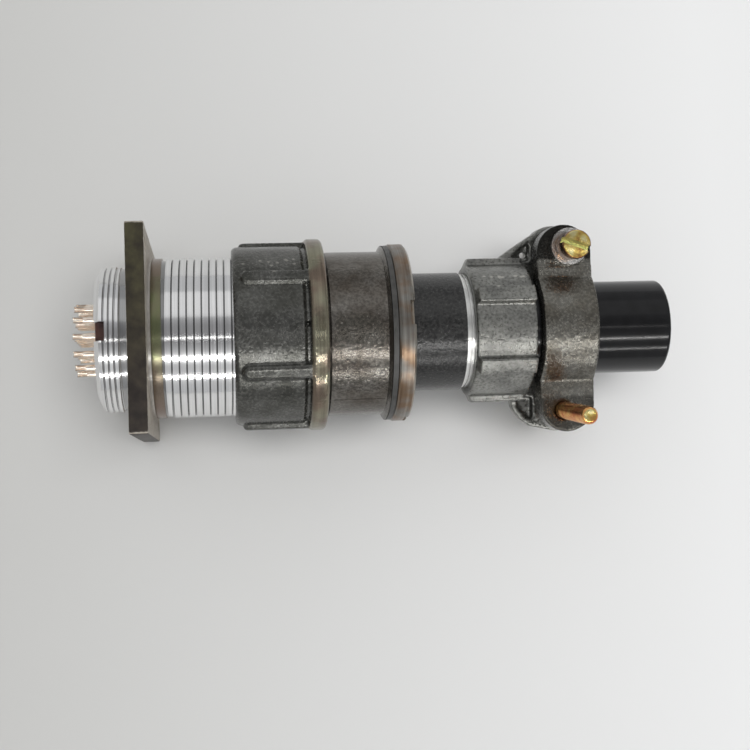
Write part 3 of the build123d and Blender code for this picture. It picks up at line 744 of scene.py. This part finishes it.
outward = Vector((0, sin(radians(seam_turn)), cos(radians(seam_turn))))
sideways = Vector((0, cos(radians(seam_turn)), -sin(radians(seam_turn))))
seam_section = [(-seam_foot, -seam_sunk), (-seam_crown, seam_height), (seam_crown, seam_height),
                (seam_foot, -seam_sunk)]
seam_spots = [(Vector((x, 0, 0)) + outward * (barrel_radius + height) + sideways * aside) * mm
              for x in (seam_start, seam_end) for aside, height in seam_section]
seam_mesh = bpy.data.meshes.new("barrel_seam")
seam_mesh.from_pydata(seam_spots, [], [(0, 1, 5, 4), (1, 2, 6, 5), (2, 3, 7, 6), (3, 0, 4, 7), (3, 2, 1, 0),
                                       (4, 5, 6, 7)])
seam_mesh.materials.append(barrel_finish)
seam = closed(link(bpy.data.objects.new("barrel_seam", seam_mesh)))
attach(seam, "plug")

# Lock ring
# A turned ring, olive plated, with four notches for a pin spanner. It is screwed into the
# barrel and holds the rear tube's flange. Handling has worn its edges brighter.
ring_low, ring_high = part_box("lock_ring")
ring_middle, ring_half = (ring_low.x + ring_high.x) / 2, (ring_high.x - ring_low.x) / 2
rub_start, rub_full = 0.5, 0.1          # in from the ring's two faces

ring_finish, add, skin = finish_kit("turned olive ring")
lines = speckle(add, 0.5, 5, stretch=lathe_lines)
stains = between(add, speckle(add, 4, 5), -1.5, 2.5)
plating = blend(add, stains, shaded(add, lines, (0.13, 0.125, 0.11), (0.27, 0.26, 0.245), spread=0.2),
                shaded(add, lines, (0.11, 0.066, 0.04), (0.24, 0.17, 0.115), spread=0.2))
from_middle = reckon(add, "ABSOLUTE", reckon(add, "SUBTRACT", place_on(add, "X"), ring_middle))
rubbed = rise(add, frayed(add, from_middle, 1.4, 0.3, detail=4), ring_half - rub_start * mm,
              ring_half - rub_full * mm, high=0.6)
skin(Base_Color=blend(add, rubbed, plating, (0.42, 0.40, 0.35)), Metallic=0.9,
     Roughness=between(add, speckle(add, 0.5), 0.24, 0.38), Normal=relief(add, lines, 0.3, 0.012))
coat(ring_finish, "lock_ring")

# Rear tube
# A sand-blasted and blackened sleeve, whose end beyond the black is bare bright thread with
# a run-out groove. The clamp's collar is screwed on to it.
black_end, bare_start = 65.05, 65.12

tube_finish, add, skin = finish_kit("blasted black tube")
bare = rise(add, place_on(add, "X"), black_end * mm, bare_start * mm)
sand = speckle(add, 0.6)
black = ramp(add, sand, (0.35, (0.006, 0.006, 0.006)), (0.72, (0.030, 0.030, 0.029)))
metal = shaded(add, speckle(add, 0.5, 4, stretch=lathe_lines), (0.55, 0.55, 0.54), (0.82, 0.82, 0.80),
               spread=0.2)
skin(Base_Color=blend(add, bare, black, metal), Metallic=bare,
     Roughness=blend(add, bare, between(add, sand, 0.14, 0.34), grey(0.28)),
     Normal=relief(add, sand, 0.9, 0.08))
coat(tube_finish, "rear_tube")

# Clamp body and saddle
# Two sand castings. The body has a six-ribbed collar, webs and a cradle in one; the saddle is
# an arch with two ears that the screws draw down on the cable. Grey, sparkling, unmachined,
# and the saddle's ears are painted dark as shade.
clamp_voxel = 0.25
clamp_finish = cast_finish("cast clamp skin", (0.19, 0.19, 0.18), (0.32, 0.32, 0.30), rough=(0.17, 0.44),
                           depth=0.12, wear=0.5)
# The saddle's ears beyond these places along Y are painted dark as shade.
saddle_finish = cast_finish("cast saddle skin", (0.135, 0.125, 0.105), (0.24, 0.235, 0.215), depth=0.09,
                            wear=0.6, shade_bands=((12.6, 0.14), (-14.5, 0.5)))
clamp_body = cast("clamp_body_cast", "clamp_body", clamp_finish, clamp_voxel)
fit(clamp_body, "plug", "olive_plated", "clamp_body")
saddle = cast("clamp_saddle_cast", "clamp_saddle", saddle_finish, clamp_voxel)
fit(saddle, "saddle", "olive_plated", "clamp_saddle")

# Clamp screws
# Machine screws with tall slotted heads, in yellow zinc that shades from gold to rust red.
# The upper one is driven from above and the lower one from below, each with a spring washer.
screw_radius, screw_pitch, thread_depth = 1.75, 0.794, 0.1
head_radius, head_height = 2.85, 5.2
screw_ease = 0.3
slot_width, slot_depth, slot_turn = 1.1, 1.8, -20
shank_length = 31.5
tip_lead, tip_lead_depth = 0.5, 0.35
thread_from_tip, thread_from_head = 0.6, 1.0
washer_thickness = 1.0
clamp_screws = (                        # side, its seat along the screw's axis, and two hues of its flanks
    ("top", 8.1, (0.10, 0.035, 0.02), (0.34, 0.17, 0.06)),
    ("bottom", 4.4, (0.62, 0.20, 0.08), (0.86, 0.50, 0.17)))


def zinc(name, flank_dark, flank_light, slot_middle):
    # Zinc with a yellow passivate: one range of hues on the flanks, a paler one on what lies
    # flat, and the palest, a painted highlight, on what lies flat below a height, such as the upper slot's
    # floor.
    finish, add, skin = finish_kit(name)
    hues = speckle(add, 1.8, 4)
    facing = add("SeparateXYZ", {"Vector": add("NewGeometry").outputs["Normal"]}).outputs["Z"]
    flat = rise(add, reckon(add, "ABSOLUTE", facing), 0.9, 0.97)
    low = reckon(add, "LESS_THAN", place_on(add, "Z"), slot_middle)
    flanks = shaded(add, hues, flank_dark, flank_light, spread=0.14)
    tops = ramp(add, hues, (0.36, (0.50, 0.27, 0.08)), (0.5, (0.76, 0.58, 0.17)), (0.64, (0.88, 0.80, 0.42)))
    # A painted highlight: flat faces below the height, such as the upper slot's floor, get the palest yellow.
    ends = blend(add, low, tops, (0.92, 0.92, 0.30))
    skin(Base_Color=blend(add, flat, flanks, ends), Metallic=1.0,
         Roughness=between(add, speckle(add, 0.4), 0.10, 0.26),
         Normal=relief(add, speckle(add, 0.5, 4), 0.3, 0.02))
    return finish


washer_finish, add, skin = finish_kit("bright washer")
skin(Base_Color=shaded(add, speckle(add, 0.8, 5), (0.42, 0.41, 0.39), (0.72, 0.71, 0.69), spread=0.2),
     Metallic=1.0, Roughness=between(add, speckle(add, 0.3), 0.2, 0.36),
     Normal=relief(add, speckle(add, 0.3), 0.2, 0.01))
coat(washer_finish, "lock_washer_top", "lock_washer_bottom")

joints = {joint["name"]: joint for joint in frame["record"]["behaviour"]["joints"]}
along_x = Vector((1, 0, 0))
shank_root = screw_radius - thread_depth
for side, seat, flank_dark, flank_light in clamp_screws:
    joint = joints[f"screw_{side}_turn"]
    axis = Vector(joint["axis"])
    foot = Vector(joint["pos_m"]) / mm + axis * (seat + washer_thickness)
    stand = Matrix((axis, along_x, axis.cross(along_x))).transposed().to_4x4()
    stand.translation = foot
    slot_middle = foot + axis * (head_height - slot_depth / 2)
    zinc_finish = zinc(f"yellow zinc {side}", flank_dark, flank_light, slot_middle.z * mm)
    screw = turned(f"clamp_screw_{side}_body", [
        (-shank_length, 0), (-shank_length, shank_root - tip_lead_depth),
        (-shank_length + tip_lead, shank_root), (0, shank_root), (0, head_radius),
        (head_height, head_radius), (head_height, 0)], zinc_finish, ease=screw_ease, steps=48, stand=stand)
    slot_across = stand.to_3x3() @ Matrix.Rotation(radians(slot_turn), 3, "X")
    milled(screw, slot_middle + axis * overrun / 2,
           (slot_depth + overrun, 2 * head_radius + overrun, slot_width), slot_across.to_4x4())
    fit(screw, f"screw_{side}", "yellow_zinc", f"clamp_screw_{side}")
    thread_start = foot - axis * (shank_length - thread_from_tip)
    turns = (shank_length - thread_from_tip - thread_from_head) / screw_pitch
    screw_thread = thread(f"clamp_screw_{side}_thread", screw_radius, thread_depth, screw_pitch, turns,
                          thread_start * mm, zinc_finish, axis.to_track_quat("Z", "Y").to_euler(), steps=24,
                          crest_share=0.35)
    fit(screw_thread, f"screw_{side}", "yellow_zinc", f"clamp_screw_{side}")

# Cable bushing
# A plain sleeve of black rubber that the saddle grips round the cable, with a moulded flange
# that hides behind the collar.
bushing_finish, add, skin = finish_kit("polished black rubber")
skin(Base_Color=shaded(add, speckle(add, 2.5, 5), (0.0015, 0.0015, 0.0020), (0.0045, 0.0045, 0.0055)),
     Roughness=between(add, speckle(add, 0.8), 0.12, 0.2),
     Normal=relief(add, speckle(add, 1.6, 4), 0.1, 0.01), Specular_IOR_Level=0.32)
coat(bushing_finish, "cable_bushing")
